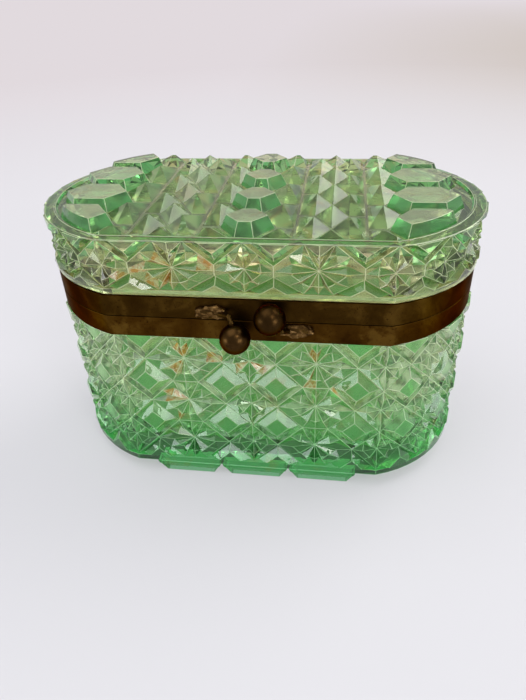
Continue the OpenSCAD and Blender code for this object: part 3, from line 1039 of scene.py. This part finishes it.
@dataclass
class BrassPiece:
    """A brass node with broken edges.

    Attributes:
        node: The CAD node that it stands for.
        body: The body that it rides on.
        finish: The brass.
        edge: Width of the rounding.
    """

    node: str
    body: Body
    finish: OldBrass
    edge: float = SMALL_EDGE

    def build(self) -> bpy.types.Object:
        """Copies the node, rounds its edges and dresses it."""
        piece = copy_of_node(self.node, "old_" + self.node)
        soften_edges(piece, self.edge, LEAST_BRASS_ANGLE, BRASS_SEGMENTS)
        smooth(piece, BRASS_SMOOTH_ANGLE)
        piece.data.materials.append(self.finish.material())
        return put_on(piece, self.body, Slot.BRASS, self.node)


SOLDER_EDGE = 0.35 * MM
SOLDER_CUTS = 9
SOLDER_SMOOTH_ANGLE = math.radians(60)
SOLDER_SOFTNESS = 0.3
TAPER_POWER = 3

# Lumps in a millimetre: the outline's, the broad heaps' and the fine heaps', with their share
OUTLINE_LUMPS = 0.9
BROAD_LUMPS = 1.7
FINE_LUMPS = 4.0
FINE_SHARE = 0.5

# Steps through the noise from one seed to the next, along and upright
SEED_STEPS = (3.7, 1.9)


@dataclass
class SolderSeam:
    """The rough solder that holds an arm's foot to its band.

    Attributes:
        name: The piece's name.
        body: The body that it rides on.
        middle: Its middle in millimetres.
        finish: The dull solder.
        seed: Start of its lumps.
        size: Its length, thickness and height in millimetres.
        swell: How far the outline strays along and upright, as shares of the pad.
        taper: How much lower the pad is at its two ends, as a share of its height.
        heap: How far the face stands out and how much of that the lumps add, in millimetres.
    """

    name: str
    body: Body
    middle: Place
    finish: OldBrass
    seed: int
    size: Place = (9.6, 1.5, 4.0)
    swell: Range = (0.16, 0.6)
    taper: float = 0.45
    heap: Range = (0.42, 0.6)

    def build(self) -> bpy.types.Object:
        """Draws a lumpy pad out of a block, rounds it and dresses it."""
        deselect()
        bpy.ops.mesh.primitive_cube_add(size=1.0, location=(0, 0, 0))
        seam = bpy.context.object
        seam.name = self.name
        bpy.ops.object.mode_set(mode="EDIT")
        bpy.ops.mesh.select_all(action="SELECT")
        bpy.ops.transform.resize(value=tuple(side * MM for side in self.size))
        bpy.ops.mesh.bevel(offset=SOLDER_EDGE, segments=2, affect="EDGES")
        bpy.ops.mesh.select_all(action="SELECT")
        bpy.ops.mesh.subdivide(number_cuts=SOLDER_CUTS)
        bpy.ops.object.mode_set(mode="OBJECT")
        self._make_lumpy(seam.data)
        bpy.ops.object.mode_set(mode="EDIT")
        bpy.ops.mesh.select_all(action="SELECT")
        bpy.ops.mesh.vertices_smooth(factor=SOLDER_SOFTNESS, repeat=1)
        bpy.ops.transform.translate(value=tuple(side * MM for side in self.middle))
        bpy.ops.object.mode_set(mode="OBJECT")
        smooth(seam, SOLDER_SMOOTH_ANGLE)
        seam.data.materials.append(self.finish.material())
        return put_on(seam, self.body, Slot.BRASS)

    def _make_lumpy(self, mesh: bpy.types.Mesh) -> None:
        """Draws the pad's outline in and out and heaps its face, both by a noise.

        Args:
            mesh: The pad's mesh, with its middle at the origin.
        """
        start = Vector((self.seed * SEED_STEPS[0], 0.0, self.seed * SEED_STEPS[1]))
        for vertex in mesh.vertices:
            place = vertex.co / MM
            edge = noise.noise(place * OUTLINE_LUMPS + start)
            lump = (noise.noise(place * BROAD_LUMPS - start)
                    + FINE_SHARE * noise.noise(place * FINE_LUMPS + start))
            lowered = 1.0 - self.taper * abs(2.0 * place.x / self.size[0]) ** TAPER_POWER
            vertex.co.x *= 1.0 + self.swell[0] * edge
            vertex.co.z *= (1.0 + self.swell[1] * edge) * lowered
            if vertex.co.y < 0.0:
                vertex.co.y -= (self.heap[0] + self.heap[1] * lump) * MM


@dataclass
class CementBed:
    """The cement between a glass neck and its band, left as the frame has it.

    Attributes:
        node: The CAD node.
        finish: The plaster.
    """

    node: str
    finish: Plaster

    def build(self) -> bpy.types.Object:
        """Gives the node its finish."""
        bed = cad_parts[self.node]
        bed.data.materials.clear()
        bed.data.materials.append(self.finish.material())
        log.info("%s: dressed", self.node)
        return bed


@dataclass
class Casket:
    """The whole box.

    Attributes:
        band_edge: Width of the rounding along the bands' edges.
        lid_ridge: Width of the rounding along the lid's ridges.
    """

    band_edge: float = 0.25 * MM
    lid_ridge: float = 0.12 * MM

    def build(self) -> None:
        """Builds the glass, the bands, the hinge, the clasp, its solder and the cement."""
        GlassShell("base_glass", Body.BASE, BASE_GLASS).build()
        GlassShell("lid_glass", Body.LID, LID_GLASS, self.lid_ridge).build()
        BrassPiece("base_band", Body.BASE, BASE_BAND_BRASS, self.band_edge).build()
        BrassPiece("lid_band", Body.LID, LID_BAND_BRASS, self.band_edge).build()
        for node in ("base_knuckle_left", "base_knuckle_middle", "base_knuckle_right",
                     "hinge_pin", "base_clasp_arm"):
            BrassPiece(node, Body.BASE, FITTINGS_BRASS).build()
        for node in ("lid_knuckle_left", "lid_knuckle_right", "lid_clasp_arm"):
            BrassPiece(node, Body.LID, FITTINGS_BRASS).build()
        BrassPiece("base_clasp_ball", Body.BASE, BALL_BRONZE).build()
        BrassPiece("lid_clasp_ball", Body.LID, BALL_BRONZE).build()
        SolderSeam("lid_arm_solder", Body.LID, (-10.6, -40.2, 74.2), ROUGH_SOLDER, 3).build()
        SolderSeam("base_arm_solder", Body.BASE, (16.4, -40.2, 68.55), ROUGH_SOLDER, 8).build()
        for node in ("base_cement", "lid_cement"):
            CementBed(node, PLASTER).build()


# ------------------------------------------------------------------ the studio

# What the lamps look at, the camera's sensor in millimetres and its nearest distance
LAMP_AIM = Vector((0.0, 0.0, 0.05))
SENSOR_WIDTH = 36.0
NEAREST_SEEN = 0.01

# Distances from the box along the floor: where it gets even, and where it becomes the backdrop
EVEN_FLOOR = (0.35, 1.0)
FLOOR_FADE = (0.15, 0.8)

# Where the right of the view turns browner, and how far away that ends
RIGHT_SIDE = (-0.15, 0.45)
RIGHT_SIDE_FADE = (2.6, 1.2)


@dataclass(frozen=True)
class Lamp:
    """One soft lamp that looks at the box.

    Attributes:
        name: The lamp's name.
        place: Where it hangs.
        wide: Its width.
        high: Its height.
        power: Its power in watts.
        colour: Its colour.
    """

    name: str
    place: Place
    wide: float
    high: float
    power: float
    colour: Colour

    def hang(self) -> None:
        """Hangs the lamp, out of the camera's sight."""
        data = bpy.data.lights.new(self.name, "AREA")
        data.shape = "RECTANGLE"
        data.size, data.size_y = self.wide, self.high
        data.energy = self.power
        data.color = self.colour
        lamp = bpy.data.objects.new(self.name, data)
        bpy.context.scene.collection.objects.link(lamp)
        lamp.location = self.place
        aim = LAMP_AIM - Vector(self.place)
        lamp.rotation_euler = aim.to_track_quat("-Z", "Y").to_euler()
        lamp.visible_camera = False


@dataclass
class Studio:
    """The floor, the soft light and the camera.

    Attributes:
        camera_at: The camera's place.
        yaw: Turn of the view to the left of the +Y axis, in radians.
        pitch: Downward tilt in radians.
        roll: Lean of the camera in radians.
        lens: Focal length in millimetres.
        floor_half: Half the floor's side.
        floor_colour: The floor's colour in the light.
        floor_roughness: The floor's roughness.
        floor_seen: The even colour that the camera sees of the floor round the box.
        backdrop: The colour that the camera sees far away.
        backdrop_right: The same to the right of the view.
        evenness: Share of the even colour in the floor round the box.
        room: Strength of the light from all around.
        room_colour: Its colour.
        lamps: The lamps.
    """

    camera_at: Place = (0.02782, -0.18976, 0.16395)
    yaw: float = -0.150
    pitch: float = 0.600
    roll: float = -0.040
    lens: float = 29.26
    floor_half: float = 6.0
    floor_colour: Colour = (0.72, 0.71, 0.74)
    floor_roughness: float = 0.85
    floor_seen: Colour = (0.690, 0.680, 0.715)
    backdrop: Colour = (0.755, 0.700, 0.730)
    backdrop_right: Colour = (0.640, 0.578, 0.540)
    evenness: float = 0.55
    room: float = 0.62
    room_colour: Colour = (0.96, 0.97, 1.0)
    lamps: list[Lamp] = field(default_factory=lambda: [
        Lamp("window", (1.5, 1.1, 1.9), 1.9, 1.9, 38.0, (1.0, 0.98, 0.96)),
        Lamp("ceiling", (-0.8, -0.2, 2.2), 2.0, 2.0, 23.0, (0.96, 0.98, 1.0)),
        Lamp("spark", (0.45, -0.60, 0.90), 0.22, 0.22, 1.6, (1.0, 0.98, 0.95)),
        Lamp("right_panel", (0.72, -0.70, 0.27), 0.46, 0.34, 2.6, (0.94, 0.97, 1.0)),
        Lamp("left_panel", (-0.90, -0.50, 0.14), 0.46, 0.30, 2.2, (0.90, 0.96, 1.0)),
    ])

    def build(self) -> None:
        """Builds the whole studio."""
        self._camera()
        self._floor()
        self._world()
        for lamp in self.lamps:
            lamp.hang()

    def _camera(self) -> None:
        """Stands the camera at the photograph's viewpoint."""
        forward = Vector((math.sin(self.yaw) * math.cos(self.pitch),
                          math.cos(self.yaw) * math.cos(self.pitch), -math.sin(self.pitch)))
        right = Vector((math.cos(self.yaw), -math.sin(self.yaw), 0.0))
        up = right.cross(forward)
        leaning_right = right * math.cos(self.roll) + up * math.sin(self.roll)
        leaning_up = up * math.cos(self.roll) - right * math.sin(self.roll)
        camera = bpy.data.objects.new("camera", bpy.data.cameras.new("camera"))
        bpy.context.scene.collection.objects.link(camera)
        camera.data.lens = self.lens
        camera.data.sensor_width = SENSOR_WIDTH
        camera.data.clip_start = NEAREST_SEEN
        turn = Matrix((leaning_right, leaning_up, -forward)).transposed().to_4x4()
        camera.matrix_world = Matrix.Translation(Vector(self.camera_at)) @ turn
        bpy.context.scene.camera = camera

    def _floor(self) -> None:
        """Lays a plain pale floor that looks even to the camera and keeps its shadow."""
        deselect()
        bpy.ops.mesh.primitive_plane_add(size=2 * self.floor_half, location=(0, 0, 0))
        floor = bpy.context.object
        floor.name = "floor"
        shader = Shader("pale_floor")
        body = shader.make("BsdfPrincipled", Base_Color=(*self.floor_colour, 1.0),
                             Roughness=self.floor_roughness)
        even = shader.add("Emission")
        shader.link(self._even_colour(shader), even.inputs["Color"])
        share = shader.span(self._far(shader), EVEN_FLOOR, (self.evenness, 1.0))
        seen = shader.is_ray("Camera", "Transmission", "Glossy")
        shader.surface(shader.blend(shader.math("MULTIPLY", seen, share), body, even))
        floor.data.materials.append(shader.material)

    @staticmethod
    def _far(shader: Shader) -> Socket:
        """Measures along the floor.

        Args:
            shader: The tree to build in.

        Returns:
            The distance from the middle of the floor.
        """
        length = shader.add("VectorMath", operation="LENGTH")
        shader.link(shader.place(), length.inputs[0])
        return length.outputs["Value"]

    def _even_colour(self, shader: Shader) -> Socket:
        """Blends the floor's colour into the backdrop's with the distance, browner to the right.

        Args:
            shader: The tree to build in.

        Returns:
            The colour.
        """
        right = shader.math("MULTIPLY", shader.span(shader.coordinate("X"), RIGHT_SIDE),
                            shader.span(self._far(shader), RIGHT_SIDE_FADE))
        backdrop = shader.mix(right, self.backdrop, self.backdrop_right)
        return shader.mix(shader.span(self._far(shader), FLOOR_FADE), self.floor_seen, backdrop)

    def _world(self) -> None:
        """Lights the room evenly and shows the pale backdrop."""
        world = bpy.data.worlds.new("room")
        bpy.context.scene.world = world
        world.use_nodes = True
        tree = NodeTree(world.node_tree, "OutputWorld")
        light = tree.make("Background", Color=(*self.room_colour, 1.0), Strength=self.room)
        seen = tree.make("Background", Color=(*self.backdrop, 1.0), Strength=1.0)
        tree.surface(tree.blend(tree.is_ray("Camera", "Transmission"), light, seen))


# ------------------------------------------------------------------ putting it together

MOST_BOUNCES = 40
MOST_TRANSMISSION_BOUNCES = 32


def set_up_scene() -> None:
    """Sets the view transform, and enough bounces for light to pass through all the glass."""
    scene = bpy.context.scene
    scene.view_settings.view_transform = "Standard"
    scene.cycles.max_bounces = MOST_BOUNCES
    scene.cycles.transmission_bounces = MOST_TRANSMISSION_BOUNCES


def main() -> None:
    """Builds the casket and its studio."""
    logging.basicConfig(level=logging.INFO, format="%(name)s: %(message)s")
    Casket().build()
    Studio().build()
    set_up_scene()


if __name__ == "__main__":
    main()
